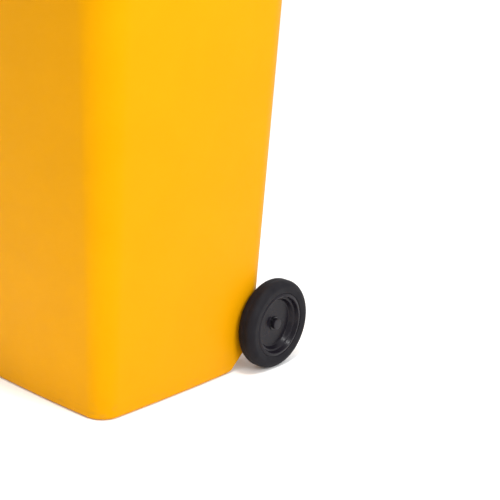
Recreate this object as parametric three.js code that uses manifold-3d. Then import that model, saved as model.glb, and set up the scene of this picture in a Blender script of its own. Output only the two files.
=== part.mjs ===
// A two-wheeled refuse bin of 240 litres: a tapered plastic tub with a comb-lift rim and rear grips,
// a domed lid hinged on two pins, and two 200 mm wheels on a steel axle at the foot of the rear wall.
// Millimetres. +X is the right-hand side seen from the front, +Y the rear, +Z up.
// The origin is on the ground, at the middle of the overall width and depth.
import * as THREE from "three";
import { mergeVertices } from "three/addons/utils/BufferGeometryUtils.js";
import Module from "manifold-3d";

// ---------------------------------------------------------------- driving dimensions
const overallWidth = 580;
const overallDepth = 732;
const overallHeight = 1070;
const wall = 4;
const gap = 0.3; // between pieces that touch
const sunk = 1; // how far a rib or an arm runs into the wall it is moulded to
const past = 20; // how far a cut runs past the face it opens
const across = 300; // beyond the sides of the bin

// tub: a bowed, round-cornered rectangle that widens upwards
const tub = {
  top: 1000,
  halfWidth: 216, // at the ground
  front: -259,
  rear: 208,
  sideTaper: 0.05, // outward growth for each millimetre of height
  frontTaper: 0.05,
  rearTaper: 0.02,
  footRadius: 46, // plan corner radius at the ground
  topRadius: 75,
  bow: 3.5, // how far the middle of each wall stands out
  footFillet: 8,
  floorHeight: 8,
};

// wheels and axle
const wheelRadius = 100;
const wheelWidth = 43;
const wheelOuterFace = 269.5; // from the middle plane of the bin
const axle = { y: 215.5, z: wheelRadius, radius: 10 };
const axleHoleRadius = axle.radius + gap;

// lower rear of the tub: a slope up from the foot, then a recess that the axle runs through
const slopeStart = 109;
const slopeRise = 0.89; // height gained for each millimetre to the rear
const recess = { y: 181, top: 150, exitY: 216, exitZ: 194 };

// rim
const lidPlay = 5.5; // the lid's skirt lies this far outside the rim's edge at the sides, wall included
const rim = {
  halfWidth: overallWidth / 2 - tub.bow - lidPlay,
  front: -343,
  rear: 248,
  radius: 92,
  flange: 5,
  skirt: 4,
  lowSide: 962, // lower edge at the sides and rear
  lowFront: 935, // lower edge of the comb-lift lip
  lipDepth: 60, // the lip keeps its full drop this far back from the front
  lipEnd: 95, // and has risen to the side's lower edge here
};
// Ribs under the flange. Each starts inside the tub's cavity, which trims it to the wall.
const comb = { pitch: 46, ribs: 10, thickness: 4, low: 939, root: -299 };
const sideRib = { places: [-190, -80, 30, 140], thickness: 4, low: 967, root: 255 };

// rear frame: six arms in pairs carry the hinge axis, which is also the axis of the grips
const eyeRadius = 20;
const hinge = { y: overallDepth / 2 - eyeRadius, z: 972 };
const gripRadius = 14;
const arms = { outer: 246, grip: 110, inner: 50, thickness: 12 }; // middle of each arm, from the middle plane
// Side view of an arm. Its root is inside the cavity, and its top passes under the lid's skirt.
const arm = { root: 178, top: 975, low: 895, heel: { y: 230, z: 901 }, bend: { y: 286, z: 921 } };
const pin = { radius: 6, headRadius: 9, headLength: 5, holeStart: 30, end: 128 };
const pinHoleRadius = pin.radius + gap;
const pinSegments = 16;

// lid
const lid = {
  halfWidth: overallWidth / 2 - tub.bow,
  front: -348,
  rear: 253,
  radius: 97,
  thickness: 3.5,
  low: 978,
  border: 1006, // top of the flat border that lies over the rim
  knuckleRadius: 17,
  knuckleHalf: 22.5,
};

// ---------------------------------------------------------------- materials
const plastic = (color, roughness) => new THREE.MeshStandardMaterial({ color, roughness, metalness: 0 });
const steel = (color, roughness) => new THREE.MeshStandardMaterial({ color, roughness, metalness: 1 });
const yellowPlastic = plastic(0xf7ac12, 0.45);
const blackPlastic = plastic(0x333235, 0.5);
const blackRubber = plastic(0x262628, 0.8);
const greyPlastic = plastic(0x55585c, 0.5);
const zincSteel = steel(0xb9bcc0, 0.4);
const blackSteel = steel(0x2c2c2e, 0.5);

// ---------------------------------------------------------------- solid helpers
const wasm = await Module();
wasm.setup();

// A closed three.js geometry as a solid that can be joined and cut.
function solid(geometry) {
  const bare = geometry.clone();
  bare.deleteAttribute("normal");
  bare.deleteAttribute("uv");
  const merged = mergeVertices(bare, 1e-3);
  const corners = merged.index.array;
  const triangles = [];
  for (let i = 0; i < corners.length; i += 3) {
    const [a, b, c] = corners.slice(i, i + 3);
    if (a !== b && b !== c && c !== a) triangles.push(a, b, c);
  }
  return new wasm.Manifold(
    new wasm.Mesh({
      numProp: 3,
      vertProperties: new Float32Array(merged.attributes.position.array),
      triVerts: new Uint32Array(triangles),
    }),
  );
}

const join = (solids) => solids.reduce((whole, next) => whole.add(next));

// A named mesh of a solid.
function piece(name, shape, material) {
  const { vertProperties, triVerts } = shape.getMesh();
  const geometry = new THREE.BufferGeometry()
    .setAttribute("position", new THREE.BufferAttribute(vertProperties, 3))
    .setIndex(new THREE.BufferAttribute(triVerts, 1));
  geometry.computeVertexNormals();
  const made = new THREE.Mesh(geometry, material);
  made.name = name;
  return made;
}

// Joins outlines of equal length, each { points, z }, lowest first, and caps both ends.
function loft(rings) {
  const count = rings[0].points.length;
  const positions = rings.flatMap(({ points, z }) => points.flatMap((p) => [p.x, p.y, z]));
  const index = [];
  for (let level = 0; level + 1 < rings.length; level++)
    for (let i = 0; i < count; i++) {
      const a = level * count + i;
      const b = level * count + ((i + 1) % count);
      index.push(a, b, b + count, a, b + count, a + count);
    }
  const last = (rings.length - 1) * count;
  for (const [a, b, c] of THREE.ShapeUtils.triangulateShape(rings[0].points, [])) index.push(c, b, a);
  for (const [a, b, c] of THREE.ShapeUtils.triangulateShape(rings.at(-1).points, []))
    index.push(last + a, last + b, last + c);
  return solid(
    new THREE.BufferGeometry()
      .setAttribute("position", new THREE.Float32BufferAttribute(positions, 3))
      .setIndex(index),
  );
}

// A bowed, round-cornered rectangle, counter-clockwise from the front-left corner's end.
const cornerSteps = 6;
const wallSteps = 4;
function outline({ halfWidth, front, rear, radius, bow = tub.bow }) {
  const points = [];
  const corners = [
    { x: halfWidth - radius, y: front + radius, start: -90 },
    { x: halfWidth - radius, y: rear - radius, start: 0 },
    { x: -halfWidth + radius, y: rear - radius, start: 90 },
    { x: -halfWidth + radius, y: front + radius, start: 180 },
  ];
  corners.forEach((corner, n) => {
    for (let k = 0; k <= cornerSteps; k++) {
      const angle = THREE.MathUtils.degToRad(corner.start + (90 * k) / cornerSteps);
      const round = new THREE.Vector2(Math.cos(angle), Math.sin(angle)).multiplyScalar(radius);
      points.push(round.add(corner));
    }
    const next = corners[(n + 1) % corners.length];
    const out = THREE.MathUtils.degToRad(corner.start + 90);
    const from = points.at(-1);
    const to = new THREE.Vector2(next.x + radius * Math.cos(out), next.y + radius * Math.sin(out));
    for (let k = 1; k < wallSteps; k++) {
      const share = k / wallSteps;
      const crown = bow * (1 - (2 * share - 1) ** 2);
      const p = from.clone().lerp(to, share);
      points.push(p.add(new THREE.Vector2(crown * Math.cos(out), crown * Math.sin(out))));
    }
  });
  return points;
}

// The tub's outline at a height, moved inwards by inset.
function tubRing(z, inset = 0) {
  const share = z / tub.top;
  return {
    z,
    points: outline({
      halfWidth: tub.halfWidth + tub.sideTaper * z - inset,
      front: tub.front - tub.frontTaper * z + inset,
      rear: tub.rear + tub.rearTaper * z - inset,
      radius: tub.footRadius + (tub.topRadius - tub.footRadius) * share - inset,
    }),
  };
}

// The outline of the rim or the lid at a height, moved inwards by inset.
const smallestRadius = 36;
function edgeRing(edge, z, inset = 0) {
  return {
    z,
    points: outline({
      halfWidth: edge.halfWidth - inset,
      front: edge.front + inset,
      rear: edge.rear - inset,
      radius: Math.max(edge.radius - inset, smallestRadius),
    }),
  };
}

// A plate whose face is a shape drawn in the Y-Z plane, from x0 to x1.
function plate(shape, x0, x1) {
  const options = { depth: x1 - x0, bevelEnabled: false, curveSegments: 8 };
  const geometry = new THREE.ExtrudeGeometry(shape, options);
  const turn = new THREE.Matrix4().makeBasis(
    new THREE.Vector3(0, 1, 0),
    new THREE.Vector3(0, 0, 1),
    new THREE.Vector3(1, 0, 0),
  );
  return solid(geometry.applyMatrix4(turn).translate(x0, 0, 0));
}

const polygon = (pairs) => new THREE.Shape(pairs.map(([a, b]) => new THREE.Vector2(a, b)));

function box(x0, x1, y0, y1, z0, z1) {
  const geometry = new THREE.BoxGeometry(x1 - x0, y1 - y0, z1 - z0);
  return solid(geometry.translate((x0 + x1) / 2, (y0 + y1) / 2, (z0 + z1) / 2));
}

// A round bar along X, centred on (y, z).
function bar(radius, x0, x1, y, z, segments = 24) {
  const geometry = new THREE.CylinderGeometry(radius, radius, x1 - x0, segments);
  return solid(geometry.rotateZ(-Math.PI / 2).translate((x0 + x1) / 2, y, z));
}

// A round bar along Z, centred on (x, y).
function post(radius, x, y, z0, z1, segments = 24) {
  const geometry = new THREE.CylinderGeometry(radius, radius, z1 - z0, segments);
  return solid(geometry.rotateX(Math.PI / 2).translate(x, y, (z0 + z1) / 2));
}

// A turned solid about the Y axis. The profile holds [radius, distance along the axis], counter-clockwise.
// One that starts on the axis ends on it too; any other closes on itself.
function lathe(profile, segments) {
  const closed = profile[0][0] > 0;
  const points = (closed ? [...profile, profile[0]] : profile).map(([r, a]) => new THREE.Vector2(r, a));
  return new THREE.LatheGeometry(points, segments);
}

// A turned solid about the X axis.
const turned = (profile, segments) => solid(lathe(profile, segments).rotateZ(-Math.PI / 2));

// The two sides of the bin, as the sign of x.
const sides = [
  { sign: 1, side: "right" },
  { sign: -1, side: "left" },
];
// The same span of x on either side of the middle plane, lowest first.
const span = (sign, from, to) => (sign > 0 ? [from, to] : [-to, -from]);

// ---------------------------------------------------------------- tub
// Side view of the space that the tub fills: slope, axle recess, then the rear wall. It is moved in by inset.
function tubProfile(inset, low) {
  const slopeAngle = Math.atan(slopeRise);
  const exit = new THREE.Vector2(recess.exitY - recess.y, recess.exitZ - recess.top);
  const exitRise = exit.y / exit.x;
  const slopeFoot = slopeStart - inset * Math.sin(slopeAngle);
  const slopeY = (z) => slopeFoot + (z - inset * Math.cos(slopeAngle)) / slopeRise;
  const exitShift = inset * Math.hypot(1, exitRise);
  const y = recess.y - inset;
  const slopeTop = (y - slopeY(0)) * slopeRise;
  const recessTop = recess.top + exitShift - exitRise * inset;
  const far = 600;
  return polygon([
    [-far, low],
    [slopeY(low), low],
    [y, slopeTop],
    [y, recessTop],
    [recess.exitY, recess.exitZ + exitShift],
    [far, recess.exitZ + exitShift],
    [far, tub.top + far],
    [-far, tub.top + far],
  ]);
}

function tubOuter() {
  const f = tub.footFillet;
  const bend = 0.3 * f;
  const rings = [tubRing(0, f), tubRing(bend, bend), tubRing(f), tubRing(tub.top)];
  return loft(rings).intersect(plate(tubProfile(0, -f), -across, across));
}

function tubCavity() {
  const space = loft([tubRing(tub.floorHeight, wall), tubRing(tub.top + past, wall)]);
  return space.intersect(plate(tubProfile(wall, tub.floorHeight), -across, across));
}

// Top flange with a skirt that hangs from its edge, deeper along the front for a comb lift.
function rimSolid() {
  const block = loft([edgeRing(rim, rim.lowFront), edgeRing(rim, tub.top)]);
  const reach = 400;
  const kept = polygon([
    [-reach, rim.lowFront],
    [rim.front + rim.lipDepth, rim.lowFront],
    [rim.front + rim.lipEnd, rim.lowSide],
    [reach, rim.lowSide],
    [reach, tub.top],
    [-reach, tub.top],
  ]);
  const low = edgeRing(rim, rim.lowFront - past, rim.skirt);
  const high = edgeRing(rim, tub.top - rim.flange, rim.skirt);
  return block.intersect(plate(kept, -across, across)).subtract(loft([low, high]));
}

// Ribs that carry the lip when the comb lifts the bin.
function combRibs() {
  const middle = (comb.ribs - 1) / 2;
  const half = comb.thickness / 2;
  const ribs = [];
  for (let n = 0; n < comb.ribs; n++) {
    const x = (n - middle) * comb.pitch;
    ribs.push(box(x - half, x + half, rim.front - tub.bow, comb.root, comb.low, tub.top - sunk));
  }
  return join(ribs);
}

// Webs between the wall and the skirt along the two sides.
function sideRibs() {
  const half = sideRib.thickness / 2;
  const ribs = [];
  for (const y of sideRib.places)
    for (const { sign } of sides) {
      const [x0, x1] = span(sign, sideRib.root, rim.halfWidth + tub.bow);
      ribs.push(box(x0, x1, y - half, y + half, sideRib.low, tub.top - sunk));
    }
  return join(ribs);
}

// The ribs end inside the skirt.
function rimRibs() {
  const within = loft([edgeRing(rim, rim.lowFront, sunk), edgeRing(rim, tub.top, sunk)]);
  return combRibs().add(sideRibs()).intersect(within);
}

// One arm of the rear frame: from inside the wall out to an eye about the hinge axis.
function armShape() {
  const shape = new THREE.Shape();
  shape.moveTo(arm.root, arm.top);
  shape.lineTo(arm.root, arm.low);
  shape.lineTo(arm.heel.y, arm.heel.z);
  const eyeStart = THREE.MathUtils.degToRad(-120);
  const eye = { y: hinge.y + eyeRadius * Math.cos(eyeStart), z: hinge.z + eyeRadius * Math.sin(eyeStart) };
  shape.quadraticCurveTo(arm.bend.y, arm.bend.z, eye.y, eye.z);
  shape.absarc(hinge.y, hinge.z, eyeRadius, eyeStart, Math.PI / 2, false);
  shape.quadraticCurveTo(hinge.y - eyeRadius, hinge.z + eyeRadius, hinge.y - 2 * eyeRadius, arm.top);
  return shape;
}

function rearFrame() {
  const half = arms.thickness / 2;
  const pieces = [];
  for (const { sign } of sides) {
    for (const at of [arms.outer, arms.grip, arms.inner])
      pieces.push(plate(armShape(), ...span(sign, at - half, at + half)));
    pieces.push(bar(gripRadius, ...span(sign, arms.grip, arms.outer), hinge.y, hinge.z));
  }
  return join(pieces);
}

// Lugs in the recess that hold the axle: where each begins and ends along X.
const axleLugs = [
  { from: 192, to: 204 },
  { from: 70, to: 80 },
];
const axleLug = { radius: 22, low: 66, high: 154, arcStart: -130, arcEnd: 110 };
function axleLugSolids() {
  const shape = new THREE.Shape();
  const root = recess.y - 2 * sunk;
  const start = THREE.MathUtils.degToRad(axleLug.arcStart);
  const end = THREE.MathUtils.degToRad(axleLug.arcEnd);
  shape.moveTo(root, axleLug.low);
  shape.absarc(axle.y, axle.z, axleLug.radius, start, end, false);
  shape.lineTo(recess.y + 3, axleLug.high);
  shape.lineTo(root, axleLug.high);
  const pieces = [];
  for (const { sign } of sides)
    for (const { from, to } of axleLugs) pieces.push(plate(shape, ...span(sign, from, to)));
  return join(pieces);
}

// Shallow pocket under the floor, which leaves a ring for the bin to stand on.
const footRingWidth = 34;
function footPocket() {
  const pocket = loft([tubRing(-past, footRingWidth), tubRing(tub.floorHeight - wall, footRingWidth)]);
  const rear = slopeStart - footRingWidth + tub.footFillet;
  return pocket.intersect(box(-across, across, tub.front, rear, -past, past));
}

// Socket under the rim for the transponder plug, in the last pocket of the comb on the right.
const plug = { x: 4 * comb.pitch, y: rim.front + 17, radius: 10, low: 966, high: 986 };
const socketWall = 2.5;
const socketBoss = () => post(plug.radius + socketWall, plug.x, plug.y, plug.low, tub.top - sunk);
const socketHole = () => post(plug.radius + gap, plug.x, plug.y, plug.low - past, plug.high + gap);

function binBody() {
  let body = join([tubOuter(), rimSolid(), rimRibs(), rearFrame(), axleLugSolids(), socketBoss()]);
  body = body.subtract(tubCavity()).subtract(footPocket()).subtract(socketHole());
  body = body.subtract(bar(axleHoleRadius, -across, across, axle.y, axle.z));
  for (const { sign } of sides) {
    const [x0, x1] = span(sign, pin.holeStart, pin.end + gap);
    body = body.subtract(bar(pinHoleRadius, x0, x1, hinge.y, hinge.z, pinSegments));
  }
  return body;
}

// ---------------------------------------------------------------- lid
// The top, from the edge inwards: distance in from the edge, and height.
const lidTop = [
  [0, lid.border - 3],
  [3, lid.border],
  [30, lid.border + 0.5],
  [42, lid.border + 16],
  [56, lid.border + 28],
  [90, lid.border + 42],
  [140, lid.border + 55],
  [190, overallHeight - 3],
  [235, overallHeight],
];

const lidOuter = () => loft([edgeRing(lid, lid.low), ...lidTop.map(([inset, z]) => edgeRing(lid, z, inset))]);

function lidInner() {
  const t = lid.thickness;
  return loft([
    edgeRing(lid, lid.low - past, t),
    edgeRing(lid, lid.border - t - 0.5, t),
    edgeRing(lid, lid.border - t, t + 0.5),
    ...lidTop.slice(2).map(([inset, z]) => edgeRing(lid, z - t, inset + 1.5)),
  ]);
}

// Arm that bends from the lid's rear border down to the knuckle on the hinge axis.
function lidArmShape() {
  const r = lid.knuckleRadius;
  const root = lid.rear - 24;
  const top = lid.border + 1;
  const end = THREE.MathUtils.degToRad(60);
  const shape = new THREE.Shape();
  shape.moveTo(root, top);
  shape.lineTo(root, top - 4);
  shape.lineTo(lid.rear + 3, top - 8);
  shape.quadraticCurveTo(hinge.y - 2 * r, hinge.z + 1.5 * r, hinge.y - r, hinge.z);
  shape.absarc(hinge.y, hinge.z, r, Math.PI, 2 * Math.PI + end, false);
  shape.quadraticCurveTo(hinge.y - r, top, lid.rear + 8, top);
  return shape;
}

// Lip along the middle of the front edge, for the fingers.
const frontLipHalf = 85;
function frontLip() {
  const tip = -overallDepth / 2;
  const top = lid.border - 2;
  const thickness = 4;
  const drop = 14;
  return polygon([
    [lid.front + 3, top],
    [lid.front + 3, top - thickness],
    [tip + thickness, top - thickness],
    [tip + thickness, top - drop],
    [tip, top - drop],
    [tip, top - 3],
    [tip + 3, top],
  ]);
}

// Rubber buffers sit in holes of the lid's border and rest on the rim.
const buffer = { radius: 4, headRadius: 8, headThickness: 1.8, inset: 13, segments: 16 };
const bufferPlaces = [
  { name: "front_left", x: -170, y: lid.front + buffer.inset },
  { name: "front_right", x: 170, y: lid.front + buffer.inset },
  { name: "rear_left", x: -(lid.halfWidth - buffer.inset), y: 110 },
  { name: "rear_right", x: lid.halfWidth - buffer.inset, y: 110 },
];

function lidSolid() {
  const middle = (arms.grip + arms.inner) / 2;
  const knuckles = sides.map(({ sign }) => span(sign, middle - lid.knuckleHalf, middle + lid.knuckleHalf));
  let body = lidOuter().add(plate(frontLip(), -frontLipHalf, frontLipHalf));
  for (const [x0, x1] of knuckles) body = body.add(plate(lidArmShape(), x0, x1));
  body = body.subtract(lidInner());
  for (const [x0, x1] of knuckles)
    body = body.subtract(bar(pinHoleRadius, x0 - past, x1 + past, hinge.y, hinge.z, pinSegments));
  for (const { x, y } of bufferPlaces)
    body = body.subtract(post(buffer.radius, x, y, lid.low, lid.border + past, buffer.segments));
  return body;
}

// Mushroom-shaped buffer: a flat head under the border and a stem that stands a little above it.
function bufferSolid() {
  const stem = buffer.radius - gap;
  const low = tub.top + gap;
  const high = lid.border + 3;
  const profile = [
    [0, low],
    [buffer.headRadius - 1, low],
    [buffer.headRadius, low + 0.6],
    [buffer.headRadius, low + buffer.headThickness],
    [stem, low + buffer.headThickness],
    [stem, high - 1],
    [stem - 1.5, high],
    [0, high],
  ];
  return solid(lathe(profile, buffer.segments).rotateX(Math.PI / 2));
}

// ---------------------------------------------------------------- hinge pin
// The head faces the middle of the bin. The shank passes the inner lug and the lid's knuckle into the grip.
function hingePin() {
  const head = arms.inner - arms.thickness / 2 - gap;
  const tip = 3;
  return turned(
    [
      [0, head - pin.headLength],
      [pin.headRadius - 1, head - pin.headLength],
      [pin.headRadius, head - pin.headLength + 1],
      [pin.headRadius, head],
      [pin.radius, head],
      [pin.radius, pin.end - tip],
      [pin.radius - 2, pin.end],
      [0, pin.end],
    ],
    pinSegments,
  );
}

// ---------------------------------------------------------------- wheel
// In the wheel's own frame the axis is X, x = 0 is the outer face and the inner side is at negative x.
const discRadius = 72;
const ridge = { height: 3.7, outer: -14.5, inner: -29.5 }; // ring on the disc that keys into the tyre
const dish = { lip: 64.5, face: -1.5, ledge: -10.5, ledgeOuter: 61.3, ledgeInner: 57.8, web: 53 };
const webOuter = -20.5;
const webInner = -24.5;
const hub = { radius: 15.5, inner: -wheelWidth - 2, outer: webOuter + 2 };
const wheelSegments = 40;

function tyre() {
  const shoulder = 16;
  const steps = 4;
  const bore = discRadius + gap;
  const groove = bore + ridge.height;
  const turns = Array.from({ length: steps + 1 }, (_, k) => ((Math.PI / 2) * k) / steps);
  const profile = [
    [bore, 0],
    [bore, ridge.outer + gap],
    [groove, ridge.outer + gap],
    [groove, ridge.inner - gap],
    [bore, ridge.inner - gap],
    [bore, -wheelWidth],
  ];
  const middle = wheelRadius - shoulder;
  const low = shoulder - wheelWidth;
  for (const a of turns) profile.push([middle + shoulder * Math.sin(a), low - shoulder * Math.cos(a)]);
  for (const a of turns) profile.push([middle + shoulder * Math.cos(a), shoulder * Math.sin(a) - shoulder]);
  return turned(profile, wheelSegments);
}

// Dished disc with a stepped rim, a hub tube and ribs on its inner side.
function wheelDisc() {
  const r = discRadius;
  const inner = 2 - wheelWidth;
  const profile = [
    [axleHoleRadius, hub.inner],
    [hub.radius, hub.inner],
    [hub.radius, webInner],
    [r - 6, webInner],
    [r - 4, inner],
    [r - 1, inner],
    [r, inner + 1],
    [r, ridge.inner],
    [r + ridge.height, ridge.inner],
    [r + ridge.height, ridge.outer],
    [r, ridge.outer],
    [r, dish.face - 1],
    [r - 1, dish.face],
    [dish.lip, dish.face],
    [dish.ledgeOuter, dish.ledge],
    [dish.ledgeInner, dish.ledge - 1],
    [dish.web, webOuter],
    [hub.radius, webOuter],
    [hub.radius, hub.outer],
    [axleHoleRadius, hub.outer],
  ];
  const ribCount = 8;
  const rib = { depth: 16, from: hub.radius - sunk, to: r - 4, thickness: 3.5 };
  let disc = turned(profile, wheelSegments);
  for (let n = 0; n < ribCount; n++) {
    const blade = new THREE.BoxGeometry(rib.depth, rib.to - rib.from, rib.thickness);
    blade.translate(webInner + sunk - rib.depth / 2, (rib.from + rib.to) / 2, 0);
    disc = disc.add(solid(blade.rotateX((2 * Math.PI * n) / ribCount)));
  }
  return disc;
}

// From the hub outwards: a push-on washer, then the cap over the axle's end.
const washer = { from: hub.outer + gap, thickness: 1.5, radius: 14.5 };
const cap = { from: washer.from + washer.thickness + gap, to: -8, radius: 12.5, wall: 1.5 };
const axleEnd = cap.to - cap.wall - gap;

function ring(inner, outer, from, to, segments = 24) {
  return turned(
    [
      [inner, from],
      [outer, from],
      [outer, to],
      [inner, to],
    ],
    segments,
  );
}

function axleCap() {
  const top = cap.to - cap.wall;
  return turned(
    [
      [0, top],
      [axleHoleRadius, top],
      [axleHoleRadius, cap.from],
      [cap.radius, cap.from],
      [cap.radius, cap.to - 1],
      [cap.radius - 1, cap.to],
      [0, cap.to],
    ],
    24,
  );
}

// Tube on the axle between the outer lug and the hub.
const sleeveRadius = 14;
const spacerSleeve = () =>
  ring(axleHoleRadius, sleeveRadius, axleLugs[0].to + gap - wheelOuterFace, hub.inner - gap);

// ---------------------------------------------------------------- assembly
const bin = new THREE.Group();
bin.add(piece("bin_body", binBody(), yellowPlastic));
bin.add(piece("transponder_plug", post(plug.radius, plug.x, plug.y, plug.low + 1, plug.high), greyPlastic));

const lidGroup = new THREE.Group();
lidGroup.add(piece("lid", lidSolid(), yellowPlastic));
for (const { name, x, y } of bufferPlaces) {
  const made = piece("lid_buffer_" + name, bufferSolid(), blackRubber);
  made.position.set(x, y, 0);
  lidGroup.add(made);
}
bin.add(lidGroup);

const axleHalf = wheelOuterFace + axleEnd;
bin.add(piece("axle", bar(axle.radius, -axleHalf, axleHalf, axle.y, axle.z), zincSteel));

for (const { sign, side } of sides) {
  const turn = sign > 0 ? 0 : Math.PI;

  const hingePinMesh = piece("hinge_pin_" + side, hingePin(), blackPlastic);
  hingePinMesh.position.set(0, hinge.y, hinge.z);
  hingePinMesh.rotation.z = turn;
  bin.add(hingePinMesh);

  const wheel = new THREE.Group();
  wheel.add(piece("tyre_" + side, tyre(), blackRubber));
  wheel.add(piece("wheel_disc_" + side, wheelDisc(), blackPlastic));
  wheel.add(piece("spacer_sleeve_" + side, spacerSleeve(), blackPlastic));
  const washerSolid = ring(axleHoleRadius, washer.radius, washer.from, washer.from + washer.thickness);
  wheel.add(piece("retaining_washer_" + side, washerSolid, blackSteel));
  wheel.add(piece("axle_cap_" + side, axleCap(), blackPlastic));
  wheel.position.set(sign * wheelOuterFace, axle.y, axle.z);
  wheel.rotation.z = turn;
  bin.add(wheel);
}

export default bin;
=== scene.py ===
"""Looks of a two-wheeled refuse bin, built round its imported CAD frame. Metres, +Z up, front at -Y."""

import math

import bmesh
import bpy
import numpy as np
from mathutils import Matrix, Vector


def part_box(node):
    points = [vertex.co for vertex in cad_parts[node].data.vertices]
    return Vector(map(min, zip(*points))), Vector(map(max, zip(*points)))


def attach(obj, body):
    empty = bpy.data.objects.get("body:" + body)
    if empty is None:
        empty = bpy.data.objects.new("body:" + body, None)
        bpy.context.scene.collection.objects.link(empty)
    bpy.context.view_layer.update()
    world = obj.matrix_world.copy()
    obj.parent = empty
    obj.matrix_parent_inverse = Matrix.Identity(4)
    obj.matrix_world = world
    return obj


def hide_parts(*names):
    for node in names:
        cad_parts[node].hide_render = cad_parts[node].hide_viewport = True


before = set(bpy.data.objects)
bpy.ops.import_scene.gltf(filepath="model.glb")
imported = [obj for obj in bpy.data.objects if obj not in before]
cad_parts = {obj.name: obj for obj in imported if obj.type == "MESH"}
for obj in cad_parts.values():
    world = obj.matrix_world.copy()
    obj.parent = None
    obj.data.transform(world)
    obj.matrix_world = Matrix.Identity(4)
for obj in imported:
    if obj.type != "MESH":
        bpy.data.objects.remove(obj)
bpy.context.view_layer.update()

# ------------------------------------------------------------------ driving dimensions
MM = 0.001

# The tub. The tapers are metres of width or depth gained per metre of height.
TUB_TOP = 1.0
TUB_HALF_WIDTH = 0.216  # this, the front and the rear are at the ground
TUB_FRONT = -0.259
TUB_REAR = 0.208
SIDE_TAPER = 0.05
FRONT_TAPER = 0.05
REAR_TAPER = 0.02
FOOT_RADIUS = 0.046
TOP_RADIUS = 0.075
BOW = 0.0035  # how far a wall stands out in its middle
WALL = 0.004
FLOOR = 0.008
FOOT_FILLET = 0.008
FOOT_RING = 0.034
FOOT_POCKET = 0.004

# The cut-off lower rear: a slope up to the axle recess, then a second slope out to the rear wall.
SLOPE_START = 0.109
SLOPE_RISE = 0.89
RECESS_Y = 0.181
RECESS_TOP = 0.150
EXIT_RISE = 44 / 35
RECESS_END = 0.26  # above this height the tub's section is a plain one

# The rim, the comb under its front, and the ribs under its sides.
RIM_HALF_WIDTH = 0.281
RIM_FRONT = -0.343
RIM_REAR = 0.248
RIM_RADIUS = 0.092
FLANGE = 0.005
SKIRT = 0.004
LOW_SIDE = 0.962
LOW_FRONT = 0.935
RIB = 0.004
RIB_BEVEL = 0.0006
SUNK = 0.002  # how deep a rib ends inside the walls that it joins
COMB_PITCH = 0.046
COMB_RIBS = 10
COMB_LOW = 0.939
SIDE_RIBS = (-0.19, -0.08, 0.03, 0.14)

# The rear frame, with the hinge axis through the eyes of its arms.
EYE_RADIUS = 0.020
HINGE_Y = 0.346
HINGE_Z = 0.972
GRIP_RADIUS = 0.014
ARM_MIDDLES = (0.246, 0.110, 0.050)
ARM_THICKNESS = 0.012
ARM_TOP = 0.975
ARM_LOW = 0.895
ARM_BEVEL = 0.0014

# The lid.
LID_HALF_WIDTH = 0.2865
LID_FRONT = -0.348
LID_REAR = 0.253
LID_RADIUS = 0.097
LID_THICKNESS = 0.0035
LID_LOW = 0.978
LID_BORDER = 1.006
KNUCKLE_MIDDLE = 0.080
KNUCKLE_HALF = 0.0225
KNUCKLE_RADIUS = 0.017
LIP_TIP = -0.366
LIP_HALF = 0.085

# The running gear.
AXLE_Y = 0.2155
AXLE_Z = 0.100
AXLE_RADIUS = 0.010
WHEEL_WIDTH = 0.043
WHEEL_FACE = 0.2695
WHEEL_RIBS = 8
BORE = 10.3  # mm, the radius of every bore on the axle
LUGS = ((0.192, 0.204), (0.070, 0.080))  # each lug's two sides, from the middle plane
LUG_RADIUS = 0.022
BOSS_RADIUS = 0.018

# Fineness of the meshes.
CORNER_STEPS = 16
WALL_STEPS = 24
COLUMNS = 4 * (CORNER_STEPS + WALL_STEPS)  # points in one ring round the tub, the rim or the lid
TURN_FINE = 144  # segments of what is turned
TURN_MIDDLE = 64
TURN_COARSE = 48
SMOOTH_ANGLE = math.radians(38)

SIDES = ((1, "right"), (-1, "left"))

CAMERA_PLACE = (1.7012, -1.5985, 0.9734)
CAMERA_ANGLES = (0.7005, 0.2959, 0.0463)  # yaw, pitch down and roll, in radians
CAMERA_LENS = 80.93


# ------------------------------------------------------------------ camera
def add_camera():
    """A close view of the foot and the right wheel, from the front right at chest height."""
    yaw, pitch, roll = CAMERA_ANGLES
    across = math.cos(pitch)
    forward = Vector((-math.sin(yaw) * across, math.cos(yaw) * across, -math.sin(pitch)))
    level = Vector((math.cos(yaw), math.sin(yaw), 0))
    upright = level.cross(forward)
    right = math.cos(roll) * level + math.sin(roll) * upright
    up = -math.sin(roll) * level + math.cos(roll) * upright
    data = bpy.data.cameras.new("camera")
    data.sensor_width = 36
    data.lens = CAMERA_LENS
    data.clip_start = 0.05
    camera = bpy.data.objects.new("camera", data)
    bpy.context.scene.collection.objects.link(camera)
    turned = Matrix((right, up, -forward)).transposed().to_4x4()
    camera.matrix_world = Matrix.Translation(CAMERA_PLACE) @ turned
    bpy.context.scene.camera = camera


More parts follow.
